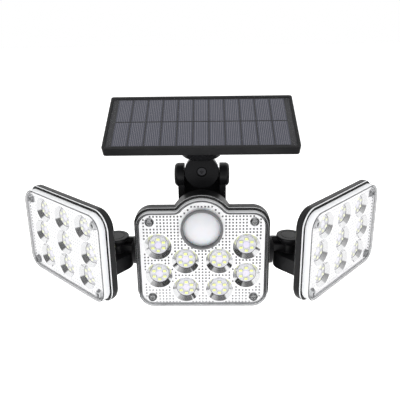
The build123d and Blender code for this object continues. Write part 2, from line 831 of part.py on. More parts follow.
def make_panel_hinge(side_view):
    """Tilt block between the ears, and the roll screw that clamps the panel's disc to it."""
    roll = Plane((0, disc_front - face_to_wall, disc_height), x_dir=(1, 0, 0), z_dir=front)
    hub_front = disc_front + disc_thick + loose_gap
    with BuildPart() as block:
        with BuildSketch(side_view.offset(loose_gap - ear_inner)):
            Circle(block_radius)
        extrude(amount=2 * (ear_inner - loose_gap))
        with BuildSketch(roll.offset(disc_front - hub_back)):
            Circle(hub_radius)
        extrude(amount=hub_back - hub_front)
        with BuildSketch(side_view.offset(-ear_inner)):
            Circle(bolt_radius + running_gap)
        extrude(amount=2 * ear_inner, mode=Mode.SUBTRACT)
        with BuildSketch(roll.offset(disc_front - hub_back)):
            Circle(roll_screw_radius + screw_gap)
        extrude(amount=hub_back - hub_front, mode=Mode.SUBTRACT)
    keep(block, "tilt_block")
    with BuildPart() as screw:
        add(cross_screw(roll.offset(running_gap - roll_seat), roll_head_radius, roll_head_height,
                        roll_screw_radius, hub_back - disc_front - roll_seat + running_gap))
    keep(screw, "roll_screw")
    return roll


def make_panel(roll):
    """Solar panel: tray, backing, cells and clear sheet, on a flared boss that ends in the roll disc."""
    tilt = radians(panel_angle)
    middle = (0, panel_depth - face_to_wall, panel_height)
    top = Plane(middle, x_dir=(1, 0, 0), z_dir=(0, -sin(tilt), cos(tilt)))
    floor = top.offset(panel_floor - panel_thick)
    under = top.offset(-panel_thick)
    boss_y = panel_front_edge + boss_from_front
    recess_x = panel_width - 2 * panel_rim
    recess_y = panel_length - 2 * panel_rim
    boss_screws_at = [(-boss_screw_x, boss_y), (boss_screw_x, boss_y)]
    grommet_at = (grommet_x, 0)
    with BuildPart() as tray:
        with BuildSketch(under):
            RectangleRounded(panel_width, panel_length, panel_corner)
        extrude(amount=panel_thick)
        fillet(tray.faces().sort_by(Axis((0, 0, 0), top.z_dir))[0].outer_wire().edges(), panel_corner / 2)
        with BuildSketch(top.offset(-panel_recess)):
            Rectangle(recess_x, recess_y)
        extrude(amount=panel_recess, mode=Mode.SUBTRACT)
        with BuildSketch(floor):
            Rectangle(recess_x - 2 * panel_ledge, recess_y - 2 * panel_ledge)
        extrude(amount=panel_thick - panel_floor - panel_recess, mode=Mode.SUBTRACT)
        with BuildSketch(under):
            with Locations(*boss_screws_at):
                Circle(screw_radius + screw_gap)
            with Locations(grommet_at):
                Circle(grommet_radius + screw_gap)
        extrude(amount=panel_floor, mode=Mode.SUBTRACT)
    keep(tray, "panel_tray")
    with BuildPart() as boss:
        with BuildSketch(under):
            with Locations((0, boss_y)):
                Ellipse(boss_half_x, boss_half_y)
        with BuildSketch(under.offset(-boss_drop)):
            with Locations((0, boss_y)):
                Ellipse(boss_foot_x, boss_foot_y)
        loft()
        fillet(boss.faces().sort_by(Axis((0, 0, 0), under.z_dir))[0].edges(), boss_foot_round)
        with BuildSketch(roll):
            Circle(disc_radius)
        extrude(amount=-disc_thick)
        with BuildSketch(roll):
            Rectangle(neck_width, neck_top - disc_height, align=(Align.CENTER, Align.MIN))
        extrude(amount=-neck_depth)
        with BuildSketch(under):
            with Locations(*boss_screws_at):
                Circle(screw_radius + screw_gap)
        extrude(amount=-boss_drop / 2, mode=Mode.SUBTRACT)
        with BuildSketch(roll):
            Circle(roll_screw_radius + running_gap)
        extrude(amount=-disc_thick, mode=Mode.SUBTRACT)
        with BuildSketch(roll):
            Circle(roll_head_radius + loose_gap)
        extrude(amount=-roll_seat, mode=Mode.SUBTRACT)
    keep(boss, "panel_boss")
    seats = [Plane(floor * Pos(x, y, 0)) for x, y in boss_screws_at]
    make_screws("boss_screws", seats, panel_floor + boss_drop / 2 - screw_head_height)
    down = Plane(under.origin, x_dir=(1, 0, 0), z_dir=-under.z_dir)
    make_grommet("panel_grommet", Plane(down * Pos(*grommet_at, 0)), panel_floor)
    seat = top.offset(-panel_recess)
    sheet_x = recess_x - 2 * screw_gap
    sheet_y = recess_y - 2 * screw_gap
    with BuildPart() as backing:
        with BuildSketch(seat):
            Rectangle(sheet_x, sheet_y)
        extrude(amount=backing_thick)
    keep(backing, "panel_backing")
    pitch_x = (sheet_x - 2 * cell_margin_x) / cell_columns
    pitch_y = (sheet_y - 2 * cell_margin_y) / cell_rows
    with BuildPart() as cells:
        with BuildSketch(seat.offset(backing_thick)):
            with GridLocations(pitch_x, pitch_y, cell_columns, cell_rows):
                Rectangle(pitch_x - cell_gap, pitch_y - cell_gap)
        extrude(amount=cell_thick)
    keep(cells, "solar_cells")
    with BuildPart() as sheet:
        with BuildSketch(seat.offset(backing_thick + cell_thick)):
            Rectangle(sheet_x, sheet_y)
        extrude(amount=sheet_thick)
    keep(sheet, "panel_sheet")


def make_arm(name, side):
    """Side arm: swivel disc and hub at the main housing, a bar, and an upright barrel with a domed cap."""
    swivel = Plane((side * side_x, pivot_y, swivel_height), x_dir=back, z_dir=(side, 0, 0))
    axis = Axis((side * pivot_x, pivot_y, 0), up)
    profile = Plane((side * pivot_x, pivot_y, 0), x_dir=(1, 0, 0), z_dir=front)
    disc_gap = swivel.offset(loose_gap)
    bar_end = Plane((side * (side_x + loose_gap + swivel_disc_thick), pivot_y, 0), x_dir=back, z_dir=(1, 0, 0))
    with BuildPart() as arm:
        with BuildSketch(disc_gap):
            Circle(swivel_disc_radius)
        extrude(amount=swivel_disc_thick)
        with BuildSketch(disc_gap):
            Circle(swivel_hub_radius)
        extrude(amount=swivel_hub_length - loose_gap)
        with BuildSketch(bar_end) as bar:
            Polygon((-bar_front, bar_bottom), (bar_back, bar_bottom), (bar_back, bar_top),
                    (bar_back - bar_rib, bar_top), (bar_back - bar_rib, bar_ledge), (-bar_front, bar_ledge),
                    align=None)
            fillet(bar.vertices(), bar_corner)
        extrude(amount=side * (pivot_x - side_x - loose_gap - swivel_disc_thick))
        with BuildSketch(profile):
            Polygon((0, bar_bottom), (barrel_radius, bar_bottom), (barrel_radius, barrel_shoulder),
                    (mushroom_radius, barrel_top), (0, barrel_top), align=None)
        revolve(axis=axis)
        with BuildSketch(Plane((side * pivot_x, pivot_y, bar_bottom))):
            Circle(bolt_radius + screw_gap)
        extrude(amount=pivot_bolt_top - bar_bottom, mode=Mode.SUBTRACT)
        with BuildSketch(disc_gap):
            Circle(bolt_radius + screw_gap)
        extrude(amount=swivel_bolt_reach - loose_gap, mode=Mode.SUBTRACT)
    keep(arm, f"{name}_arm")
    with BuildPart() as cap:
        with BuildSketch(Plane((side * pivot_x, pivot_y, barrel_top))):
            Circle(cap_radius)
        extrude(amount=cap_top - barrel_top)
        fillet(cap.edges().filter_by(GeomType.CIRCLE).sort_by(Axis.Z)[-1], cap_round)
        with BuildSketch(Plane((side * pivot_x, pivot_y, cap_top))):
            Circle(cap_groove_radius)
            Circle(cap_groove_radius - cap_groove_width, mode=Mode.SUBTRACT)
        extrude(amount=-cap_groove_depth, mode=Mode.SUBTRACT)
    keep(cap, f"{name}_arm_cap")
    inner_wall = swivel.offset(-housing_wall - running_gap)
    with BuildPart() as swivel_bolt:
        with BuildSketch(inner_wall):
            Circle(bolt_head_radius)
        extrude(amount=-bolt_head_height)
        with BuildSketch(inner_wall):
            Circle(bolt_radius)
        extrude(amount=swivel_bolt_reach + housing_wall)
    keep(swivel_bolt, f"{name}_swivel_bolt")
    head_seat = knuckle_bottom + bolt_head_height + loose_gap
    with BuildPart() as pivot_bolt:
        with BuildSketch(Plane((side * pivot_x, pivot_y, head_seat))):
            Circle(bolt_head_radius)
        extrude(amount=-bolt_head_height)
        with BuildSketch(Plane((side * pivot_x, pivot_y, head_seat))):
            Circle(bolt_radius)
        extrude(amount=pivot_bolt_top - screw_gap - head_seat)
    keep(pivot_bolt, f"{name}_pivot_bolt")
    with BuildPart() as washer:
        with BuildSketch(Plane((side * pivot_x, pivot_y, bar_bottom))):
            Circle(washer_radius)
            Circle(bolt_radius + screw_gap, mode=Mode.SUBTRACT)
        extrude(amount=running_gap - bar_bottom)
    keep(washer, f"{name}_pivot_washer")


os.makedirs("parts", exist_ok=True)
for lamp in (main_head, left_head, right_head):
    make_cover(lamp)
    make_seal(lamp)
    make_reflector(lamp)
    make_board(lamp)
    make_chips(lamp)
    make_cover_screws(lamp)
make_main_housing()
make_side_housing(left_head, -1)
make_side_housing(right_head, 1)
make_rear_parts()
make_sensor()
make_electronics()
make_grommet("body_grommet", Plane((grommet_x, body_grommet_depth - face_to_wall, box_top)), housing_wall)
make_panel(make_panel_hinge(make_post()))
for arm_name, arm_side in (("left", -1), ("right", 1)):
    make_arm(arm_name, arm_side)
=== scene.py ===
import json
from math import cos, pi, radians, sin

import bmesh
import bpy
from mathutils import Matrix, Vector
from mathutils.bvhtree import BVHTree


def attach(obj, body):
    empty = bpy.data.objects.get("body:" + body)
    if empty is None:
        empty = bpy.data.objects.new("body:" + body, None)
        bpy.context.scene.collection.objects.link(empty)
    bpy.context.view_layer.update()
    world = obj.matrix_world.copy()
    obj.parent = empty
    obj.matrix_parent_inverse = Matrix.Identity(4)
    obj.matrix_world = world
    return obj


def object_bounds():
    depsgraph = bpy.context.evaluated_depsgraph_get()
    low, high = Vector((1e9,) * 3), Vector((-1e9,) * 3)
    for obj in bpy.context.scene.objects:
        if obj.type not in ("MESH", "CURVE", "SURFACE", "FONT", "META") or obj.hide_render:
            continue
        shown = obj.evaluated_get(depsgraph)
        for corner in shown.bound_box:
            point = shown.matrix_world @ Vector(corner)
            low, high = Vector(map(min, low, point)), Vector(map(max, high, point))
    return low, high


# Camera of the photograph, in metres and degrees, with its lens and sensor in millimetres
CAMERA_AT = Vector((0.00736, -0.46272, 0.21452))
CAMERA_DOWN = 16.30
CAMERA_YAW = 1.21
CAMERA_ROLL = 0.87
CAMERA_LENS = 40.5
CAMERA_SENSOR = 36.0
CAMERA_SHIFT = -0.10
CAMERA_NEAR = 0.01

# Studio: a white room that is dark in front, less so towards the right, and a floor well below
ROOM_LIGHT = 1.0
ROOM_DARK = 0.13
ROOM_DIM = 0.5
DIM_TOWARDS = (1.0, 0.0, 0.0)
DIM_FROM = 0.1
DIM_TO = 0.6
DARK_ELEVATION = 44.0
DARK_TURN = -6.0
DARK_EDGE = 50.0
DARK_CORE = 40.0
FLOOR_DROP = 0.32
FLOOR_SIZE = 30.0
FLOOR_GLOW = 0.6

# Soft boxes: place and size in metres, and power in watts
SOFT_BOXES = {
    "top_light": ((0.0, 0.1, 1.1), (1.2, 0.8), 6.0),
    "front_light": ((0.0, -1.2, 0.5), (1.4, 1.0), 10.0),
    "back_light": ((0.0, 1.3, 0.5), (1.4, 1.0), 8.0),
}
LIGHT_TARGET = Vector((0.0, -0.05, 0.05))

# Reading the solids: normals that look forward, and the step that tells points apart
FORWARD_LIMIT = -0.3
STEPS_PER_METRE = 1e6

# Small added solids: their corners, where their softened edge starts, and a disc's sides
CORNERS = ((-0.5, -0.5), (0.5, -0.5), (0.5, 0.5), (-0.5, 0.5))
EDGE_LEVEL = 0.6
DISC_SIDES = 32

# Small parts of the LED boards
WINDOW_MARGIN = 0.00025
WINDOW_RISE = 0.00008
PAD_LENGTH = 0.00055
PAD_RISE = 0.00012
CORE_RADIUS = 0.0031
CORE_RISE = 0.00012
CHIP_SPACING = 0.008

# Mirror facets on the reflectors' sheets, each leaning upwards
FACET_PITCH = 0.00325
FACET_SIDE = 0.00156
FACET_LEAN = 0.3
FACET_FOOT = 0.00005
FACET_MARGIN = 0.0002
PROBE_HEIGHT = 0.001
PROBE_SLACK = 0.00005

# Coating and printed fingers of the solar cells
COATING_RISE = 0.00005
FINGER_PITCH = 0.0017
FINGER_WIDTH = 0.0004
FINGER_RISE = 0.00003
CELL_BORDER = 0.0004

# Clear plastic: its opacity, and the painted shade, a strip along the inside of a cover's walls
CLEAR_IOR = 1.49
FACE_ALPHA = 0.015
WALL_ALPHA = 0.75
EDGE_ALPHA = 0.8
INSIDE_REACH = 0.002
INSIDE_SHADE = 0.75
INSIDE_SHADE_FAINT = 0.2
OUTLINE_DEPTH = 0.0032

# How squarely parts of a cover or reflector look forward: 1 is flat, 0 is a side wall
WALL_FACING = (0.30, 0.60)
BEND_FROM = (0.45, 0.60)
BEND_TO = (0.85, 0.95)
FACE_FACING = (0.80, 0.97)
SHEET_FACING = (0.97, 0.99)

# Reflectors: painted shade at the foot of the bowls, where they meet the board, and the finish of
# bowls and sheet
CUP_FOOT = 0.0005
SHEET_METALLIC = 0.1
BOWL_ROUGHNESS = 0.10
SHEET_ROUGHNESS = 0.5

# Scales of the unevenness in colour and gloss, and of the fine grain, per metre
NOISE_SPAN = (0.3, 0.7)
NOISE_DETAIL = 3.0
PLASTIC_TONE, PLASTIC_GLOSS = 40.0, 90.0
METAL_TONE, METAL_GLOSS = 300.0, 900.0
CLEAR_TONE, CLEAR_GLOSS = 25.0, 60.0
SILVER_TONE, SILVER_GLOSS = 120.0, 300.0
CELL_TONE, CELL_GLOSS = 220.0, 500.0
LENS_TONE, LENSLET_SCALE = 90.0, 260.0
GRAIN_SCALE, GRAIN_DETAIL = 2600.0, 2.0
BRUSH_SCALE, BRUSH_DETAIL = 4000.0, 1.0
TRACK_SCALE = 160.0

# Heights of grain and lenslets, and the rounding of edges
FLAT = 0.000001
SMOOTH = 0.00001
SATIN = 0.00002
GRAINED = 0.00003
COARSE = 0.00005
LENSLET_HEIGHT = 0.00015
LENSLET_STRENGTH = 0.35
EDGE_ROUND = 0.0004
EDGE_SAMPLES = 4

# Shades that several materials share
WHITE = (1.0, 1.0, 1.0)
BLACK = ((0.006, 0.006, 0.0065), (0.010, 0.010, 0.011))
SILVER = ((0.86, 0.86, 0.87), (0.91, 0.91, 0.92))
# Painted sheen: the light that clear cover walls carry, painted as a milky colour
PAINTED_WALL_SHEEN = ((0.86, 0.87, 0.89), (0.93, 0.94, 0.95))
# Painted shade on a cover's rounded edge and on its inner walls
PAINTED_EDGE_SHADE = (0.05, 0.05, 0.055, 1.0)
# Painted shade in the crease at the foot of the reflector bowls
PAINTED_FOOT_SHADE = (0.30, 0.30, 0.31, 1.0)
BORDER_BLACK = (0.012, 0.012, 0.014, 1.0)

# Colour sockets of a mix node
MIX_FIRST, MIX_SECOND, MIX_RESULT = 6, 7, 2

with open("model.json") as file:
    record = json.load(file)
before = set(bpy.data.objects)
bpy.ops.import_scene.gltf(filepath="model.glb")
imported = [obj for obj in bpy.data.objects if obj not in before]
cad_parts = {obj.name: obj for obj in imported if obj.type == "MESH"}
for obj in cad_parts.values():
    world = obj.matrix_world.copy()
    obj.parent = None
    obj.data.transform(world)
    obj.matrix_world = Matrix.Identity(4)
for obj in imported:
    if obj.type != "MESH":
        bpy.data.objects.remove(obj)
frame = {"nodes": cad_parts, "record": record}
cad_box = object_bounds()
nodes = frame["nodes"]

HEADS = {"main": "lamp_body", "left": "left_head", "right": "right_head"}


# Reading the solids

def front_of(name):
    """Level direction in which a cover faces: that of its largest triangle that looks forward."""
    faces = [p for p in nodes[name].data.polygons if p.normal.y < FORWARD_LIMIT]
    normal = max(faces, key=lambda p: p.area).normal
    return Vector((normal.x, normal.y, 0)).normalized()


fronts = {head: front_of(f"{head}_cover") for head in HEADS}


def head_axes(head):
    """Directions along a head's width and height, and out of its front."""
    front = fronts[head]
    return Vector((-front.y, front.x, 0)), Vector((0, 0, 1)), front


def cell_axes():
    """Directions along a solar cell's width and height, and out of its face."""
    faces = nodes["solar_cells"].data.polygons
    normal = max(faces, key=lambda p: p.area * p.normal.z).normal.copy()
    width = Vector((1, 0, 0))
    return width, normal.cross(width), normal


def islands(name):
    """Points of each of a node's separate solids."""
    mesh = nodes[name].data
    parent = {}

    def root(key):
        while parent.setdefault(key, key) != key:
            key = parent[key]
        return key

    keys = [tuple(round(c * STEPS_PER_METRE) for c in v.co) for v in mesh.vertices]
    for polygon in mesh.polygons:
        first = root(keys[polygon.vertices[0]])
        for index in polygon.vertices[1:]:
            parent[root(keys[index])] = first
    found = {}
    for key, vertex in zip(keys, mesh.vertices):
        found.setdefault(root(key), []).append(vertex.co.copy())
    return list(found.values())


def boxes(name, axes):
    """Centre and three sizes, along given axes, of each of a node's separate solids."""
    found = []
    for points in islands(name):
        spans = [[p.dot(axis) for p in points] for axis in axes]
        centre = sum((axis * (max(s) + min(s)) / 2 for axis, s in zip(axes, spans)), Vector())
        found.append((centre, [max(s) - min(s) for s in spans]))
    return found


def levels(name, direction):
    """Lowest and highest reach of a node along a direction."""
    reach = [v.co.dot(direction) for v in nodes[name].data.vertices]
    return min(reach), max(reach)


def rings(centres):
    """Chip centres grouped into the rings they form."""
    groups = []
    for centre in centres:
        near = [g for g in groups if any((centre - other).length < CHIP_SPACING for other in g)]
        merged = [centre] + [c for g in near for c in g]
        groups = [g for g in groups if g not in near] + [merged]
    return groups


# Node helpers

def add_node(tree, kind, **settings):
    """New node with its settings."""
    made = tree.nodes.new(kind)
    for key, value in settings.items():
        setattr(made, key, value)
    return made


def feed(tree, socket, value):
    """Set a socket to a number or vector, or link it to another socket."""
    if isinstance(value, bpy.types.NodeSocket):
        tree.links.new(value, socket)
    else:
        socket.default_value = value


def calc(tree, operation, first, second=0.0):
    """Result of one sum on numbers or sockets."""
    made = add_node(tree, "ShaderNodeMath", operation=operation)
    feed(tree, made.inputs[0], first)
    feed(tree, made.inputs[1], second)
    return made.outputs[0]


def dot(tree, vector, direction):
    """How far a vector reaches along a direction."""
    made = add_node(tree, "ShaderNodeVectorMath", operation="DOT_PRODUCT")
    feed(tree, made.inputs[0], vector)
    feed(tree, made.inputs[1], direction)
    return made.outputs["Value"]


def remap(tree, value, low, high, new_low, new_high, kind="SMOOTHSTEP"):
    """Value carried from one range to another, and held at its ends."""
    made = add_node(tree, "ShaderNodeMapRange", interpolation_type=kind)
    feed(tree, made.inputs["Value"], value)
    names = ("From Min", "From Max", "To Min", "To Max")
    for name, number in zip(names, (low, high, new_low, new_high)):
        made.inputs[name].default_value = number
    return made.outputs["Result"]


def blend_colour(tree, factor, first, second):
    """Mix of two colours."""
    made = add_node(tree, "ShaderNodeMix", data_type="RGBA")
    feed(tree, made.inputs["Factor"], factor)
    feed(tree, made.inputs[MIX_FIRST], first)
    feed(tree, made.inputs[MIX_SECOND], second)
    return made.outputs[MIX_RESULT]


def noise(tree, place, scale, detail=NOISE_DETAIL):
    """Cloudy pattern that is fixed to the part."""
    made = add_node(tree, "ShaderNodeTexNoise")
    feed(tree, made.inputs["Vector"], place)
    made.inputs["Scale"].default_value = scale
    made.inputs["Detail"].default_value = detail
    return made.outputs["Fac"]


def rounded_normal(tree):
    """Normal that softens a solid's sharp edges, as a moulded or tumbled part has."""
    made = add_node(tree, "ShaderNodeBevel", samples=EDGE_SAMPLES)
    made.inputs["Radius"].default_value = EDGE_ROUND
    return made.outputs["Normal"]


def bump(tree, height, distance, strength=1.0, normal=None):
    """Normal of a surface with fine relief."""
    made = add_node(tree, "ShaderNodeBump")
    feed(tree, made.inputs["Height"], height)
    made.inputs["Distance"].default_value = distance
    made.inputs["Strength"].default_value = strength
    if normal is not None:
        feed(tree, made.inputs["Normal"], normal)
    return made.outputs["Normal"]


def new_material(name, **sockets):
    """Material with its node tree, its shader and the place of a point on the part.

    Sockets set what is constant on the shader.
    """
    material = bpy.data.materials.new(name)
    material.use_nodes = True
    tree = material.node_tree
    shader = tree.nodes["Principled BSDF"]
    for key, value in sockets.items():
        shader.inputs[key.replace("_", " ")].default_value = value
    place = add_node(tree, "ShaderNodeTexCoord")
    return material, tree, shader, place.outputs["Object"]


def mottled(tree, place, scale, dark, light):
    """Colour that drifts between two shades over the part."""
    return blend_colour(tree, noise(tree, place, scale), (*dark, 1.0), (*light, 1.0))


def uneven(tree, place, scale, smooth, rough):
    """Roughness that drifts between two values over the part."""
    return remap(tree, noise(tree, place, scale), *NOISE_SPAN, smooth, rough)


# Materials

def plastic(name, dark, light, smooth, rough, grain, **sockets):
    """Moulded plastic: slightly uneven colour and gloss, fine eroded grain, softened edges."""
    material, tree, shader, place = new_material(name, **sockets)
    feed(tree, shader.inputs["Base Color"], mottled(tree, place, PLASTIC_TONE, dark, light))
    feed(tree, shader.inputs["Roughness"], uneven(tree, place, PLASTIC_GLOSS, smooth, rough))
    texture = noise(tree, place, GRAIN_SCALE, GRAIN_DETAIL)
    feed(tree, shader.inputs["Normal"], bump(tree, texture, grain, 1.0, rounded_normal(tree)))
    return material


def metal(name, dark, light, smooth, rough):
    """Plated or plain metal: brushed gloss, slight stains, softened edges."""
    material, tree, shader, place = new_material(name, Metallic=1.0)
    feed(tree, shader.inputs["Base Color"], mottled(tree, place, METAL_TONE, dark, light))
    feed(tree, shader.inputs["Roughness"], uneven(tree, place, METAL_GLOSS, smooth, rough))
    texture = noise(tree, place, BRUSH_SCALE, BRUSH_DETAIL)
    feed(tree, shader.inputs["Normal"], bump(tree, texture, SMOOTH, 1.0, rounded_normal(tree)))
    return material


def clear_sheet(name, alpha, tint, smooth, rough):
    """Clear sheet: a faint haze, with slight unevenness in its gloss."""
    material, tree, shader, place = new_material(name, Alpha=alpha, IOR=CLEAR_IOR)
    feed(tree, shader.inputs["Base Color"], mottled(tree, place, CLEAR_TONE, tint, WHITE))
    feed(tree, shader.inputs["Roughness"], uneven(tree, place, CLEAR_GLOSS, smooth, rough))
    return material


def clear_cover(name, front):
    """Clear moulded cover: a see-through face with painted shade on its rounded edge, and walls
    painted milky as a painted sheen.

    Inside, painted shade darkens a strip of the walls along the face.
    """
    material, tree, shader, place = new_material(name, IOR=CLEAR_IOR)
    normals = add_node(tree, "ShaderNodeTexCoord").outputs["Normal"]
    facing = calc(tree, "ABSOLUTE", dot(tree, normals, front))
    points = nodes[name].data.vertices
    spoke = add_node(tree, "ShaderNodeVectorMath", operation="SUBTRACT")
    feed(tree, spoke.inputs[0], place)
    feed(tree, spoke.inputs[1], sum((v.co for v in points), Vector()) / len(points))
    inside = remap(tree, dot(tree, normals, spoke.outputs[0]), -INSIDE_REACH, 0.0, 1.0, 0.0)
    outline = levels(name, front)[1] - OUTLINE_DEPTH
    strip = (outline - EDGE_ROUND, outline + EDGE_ROUND)
    shade = remap(tree, dot(tree, place, front), *strip, INSIDE_SHADE_FAINT, INSIDE_SHADE)
    inside = calc(tree, "MULTIPLY", inside, shade)
    inside = calc(tree, "MULTIPLY", inside, remap(tree, facing, *WALL_FACING, 1.0, 0.0))
    # Painted shade: dark grey on the rounded edge, and on the inner walls near the face
    bend = calc(tree, "MULTIPLY", remap(tree, facing, *BEND_FROM, 0.0, 1.0),
                remap(tree, facing, *BEND_TO, 1.0, 0.0))
    grey = calc(tree, "MAXIMUM", inside, bend)
    # Painted sheen: the walls painted milky, for the light in clear walls
    milky = mottled(tree, place, CLEAR_TONE, *PAINTED_WALL_SHEEN)
    feed(tree, shader.inputs["Base Color"], blend_colour(tree, grey, milky, PAINTED_EDGE_SHADE))
    feed(tree, shader.inputs["Roughness"], uneven(tree, place, CLEAR_GLOSS, 0.05, 0.12))
    clear = remap(tree, facing, *FACE_FACING, WALL_ALPHA, FACE_ALPHA)
    veil = calc(tree, "MULTIPLY", grey, EDGE_ALPHA)
    feed(tree, shader.inputs["Alpha"], calc(tree, "MAXIMUM", clear, veil))
    return material


def reflector(name, front, foot):
    """Silvered reflector: mirror-bright bowls with painted shade at their foot, and a frosted
    sheet round them.
    """
    material, tree, shader, place = new_material(name)
    normals = add_node(tree, "ShaderNodeTexCoord").outputs["Normal"]
    flat = remap(tree, dot(tree, normals, front), *SHEET_FACING, 0.0, 1.0)
    silver = mottled(tree, place, SILVER_TONE, *SILVER)
    depth = dot(tree, place, front)
    # Painted shade: a darker ring where each bowl's foot meets the board
    low = remap(tree, depth, foot + CUP_FOOT / 2, foot + CUP_FOOT, 1.0, 0.0)
    feed(tree, shader.inputs["Base Color"], blend_colour(tree, low, silver, PAINTED_FOOT_SHADE))
    feed(tree, shader.inputs["Metallic"], remap(tree, flat, 0.0, 1.0, 1.0, SHEET_METALLIC))
    finish = remap(tree, flat, 0.0, 1.0, BOWL_ROUGHNESS, SHEET_ROUGHNESS)
    feed(tree, shader.inputs["Roughness"], finish)
    return material


def silvered(name):
    """Silvered plastic: mirror-bright, with slight clouding."""
    material, tree, shader, place = new_material(name, Metallic=1.0)
    feed(tree, shader.inputs["Base Color"], mottled(tree, place, SILVER_TONE, *SILVER))
    feed(tree, shader.inputs["Roughness"], uneven(tree, place, SILVER_GLOSS, 0.08, 0.14))
    return material


def solar_cell(name, dark, light):
    """Silicon cells: dark blue-grey, with a darker border round each cell."""
    material, tree, shader, place = new_material(name, Specular_IOR_Level=0.4)
    border = 0.0
    for direction in cell_axes()[:2]:
        spans = [[p.dot(direction) for p in points] for points in islands("solar_cells")]
        middles = sorted((max(span) + min(span)) / 2 for span in spans)
        half = (max(spans[0]) - min(spans[0])) / 2
        pitch = max(b - a for a, b in zip(middles, middles[1:]))
        along = calc(tree, "SUBTRACT", dot(tree, place, direction), middles[0])
        steps = calc(tree, "DIVIDE", along, pitch)
        rest = calc(tree, "SUBTRACT", steps, calc(tree, "ROUND", steps))
        off = calc(tree, "MULTIPLY", calc(tree, "ABSOLUTE", rest), pitch)
        edge = remap(tree, off, half - CELL_BORDER, half - CELL_BORDER / 2, 0.0, 1.0)
        border = calc(tree, "MAXIMUM", border, edge)
    silicon = mottled(tree, place, CELL_TONE, dark, light)
    feed(tree, shader.inputs["Base Color"], blend_colour(tree, border, silicon, BORDER_BLACK))
    feed(tree, shader.inputs["Roughness"], uneven(tree, place, CELL_GLOSS, 0.28, 0.4))
    return material


def frosted(name, dark, light):
    """Frosted lens: milky plastic with a faint honeycomb of lenslets moulded inside."""
    material, tree, shader, place = new_material(
        name, Roughness=0.32, Subsurface_Weight=0.25, Subsurface_Scale=0.002)
    feed(tree, shader.inputs["Base Color"], mottled(tree, place, LENS_TONE, dark, light))
    cells = add_node(tree, "ShaderNodeTexVoronoi", feature="SMOOTH_F1")
    feed(tree, cells.inputs["Vector"], place)
    cells.inputs["Scale"].default_value = LENSLET_SCALE
    relief = bump(tree, cells.outputs["Distance"], LENSLET_HEIGHT, LENSLET_STRENGTH)
    feed(tree, shader.inputs["Normal"], relief)
    return material


def circuit(name, first, second, track):
    """Circuit board in two shades of solder mask, with lighter copper tracks under it."""
    material, tree, shader, place = new_material(name, Roughness=0.35)
    tracks = add_node(tree, "ShaderNodeTexBrick")
    feed(tree, tracks.inputs["Vector"], place)
    tracks.inputs["Scale"].default_value = TRACK_SCALE
    for socket, colour in (("Color1", first), ("Color2", second), ("Mortar", track)):
        tracks.inputs[socket].default_value = (*colour, 1.0)
    feed(tree, shader.inputs["Base Color"], tracks.outputs["Color"])
    return material


# Each look has its darker and lighter shade, its roughness from smooth to rough, and its grain
looks = {
    "black_plastic": plastic(
        "black_plastic", *BLACK, 0.28, 0.38, GRAINED, Specular_IOR_Level=0.25),
    "panel_boss": plastic(
        "boss_plastic", *BLACK, 0.22, 0.30, SMOOTH, Specular_IOR_Level=0.1),
    "tray_plastic": plastic(
        "tray_plastic", *BLACK, 0.34, 0.46, COARSE, Specular_IOR_Level=0.25),
    "seal_rubber": plastic(
        "seal_rubber", (0.012, 0.012, 0.012), (0.02, 0.02, 0.02), 0.6, 0.75, COARSE),
    "white_board": plastic(
        "white_board", (0.56, 0.56, 0.60), (0.64, 0.64, 0.67), 0.35, 0.45, SMOOTH),
    "dark_backing": plastic(
        "dark_backing", (0.010, 0.010, 0.012), (0.016, 0.016, 0.018), 0.4, 0.5, SMOOTH,
        Specular_IOR_Level=0.2),
    "led_phosphor": plastic(
        "led_body", (0.80, 0.81, 0.78), (0.88, 0.88, 0.85), 0.3, 0.4, SMOOTH),
    "screw_steel": metal("screw_steel", (0.34, 0.345, 0.35), (0.46, 0.465, 0.47), 0.18, 0.32),
    "roll_screw": metal("roll_screw", (0.03, 0.03, 0.033), (0.05, 0.05, 0.054), 0.12, 0.2),
    "dark_steel": metal("dark_steel", (0.10, 0.10, 0.11), (0.18, 0.18, 0.19), 0.3, 0.45),
    "sensor_white": frosted("sensor_white", (0.59, 0.60, 0.63), (0.67, 0.68, 0.70)),
    "sensor_grey": plastic(
        "sensor_grey", (0.10, 0.10, 0.105), (0.15, 0.15, 0.155), 0.2, 0.3, SMOOTH),
    "sensor_metal": metal("sensor_metal", (0.45, 0.45, 0.44), (0.6, 0.6, 0.58), 0.25, 0.4),
    "circuit_green": circuit(
        "circuit_green", (0.02, 0.12, 0.05), (0.025, 0.15, 0.06), (0.06, 0.24, 0.1)),
    "switch_black": plastic(
        "switch_black", (0.012, 0.012, 0.012), (0.025, 0.025, 0.025), 0.4, 0.55, GRAINED),
    "button_grey": plastic(
        "button_grey", (0.035, 0.035, 0.037), (0.055, 0.055, 0.058), 0.5, 0.65, COARSE),
    "battery_wrap": plastic(
        "battery_wrap", (0.02, 0.10, 0.28), (0.03, 0.14, 0.36), 0.2, 0.3, SMOOTH),
    "washer_nylon": plastic(
        "washer_nylon", (0.02, 0.02, 0.02), (0.035, 0.035, 0.035), 0.4, 0.5, SATIN),
    "cell_silicon": solar_cell("cell_silicon", (0.024, 0.025, 0.040), (0.038, 0.039, 0.058)),
    "clear_sheet": clear_sheet("clear_sheet", 0.012, (0.92, 0.95, 1.0), 0.08, 0.14),
}
phosphor = plastic(
    "led_window", (0.78, 0.86, 0.24), (0.86, 0.90, 0.36), 0.35, 0.5, SATIN)
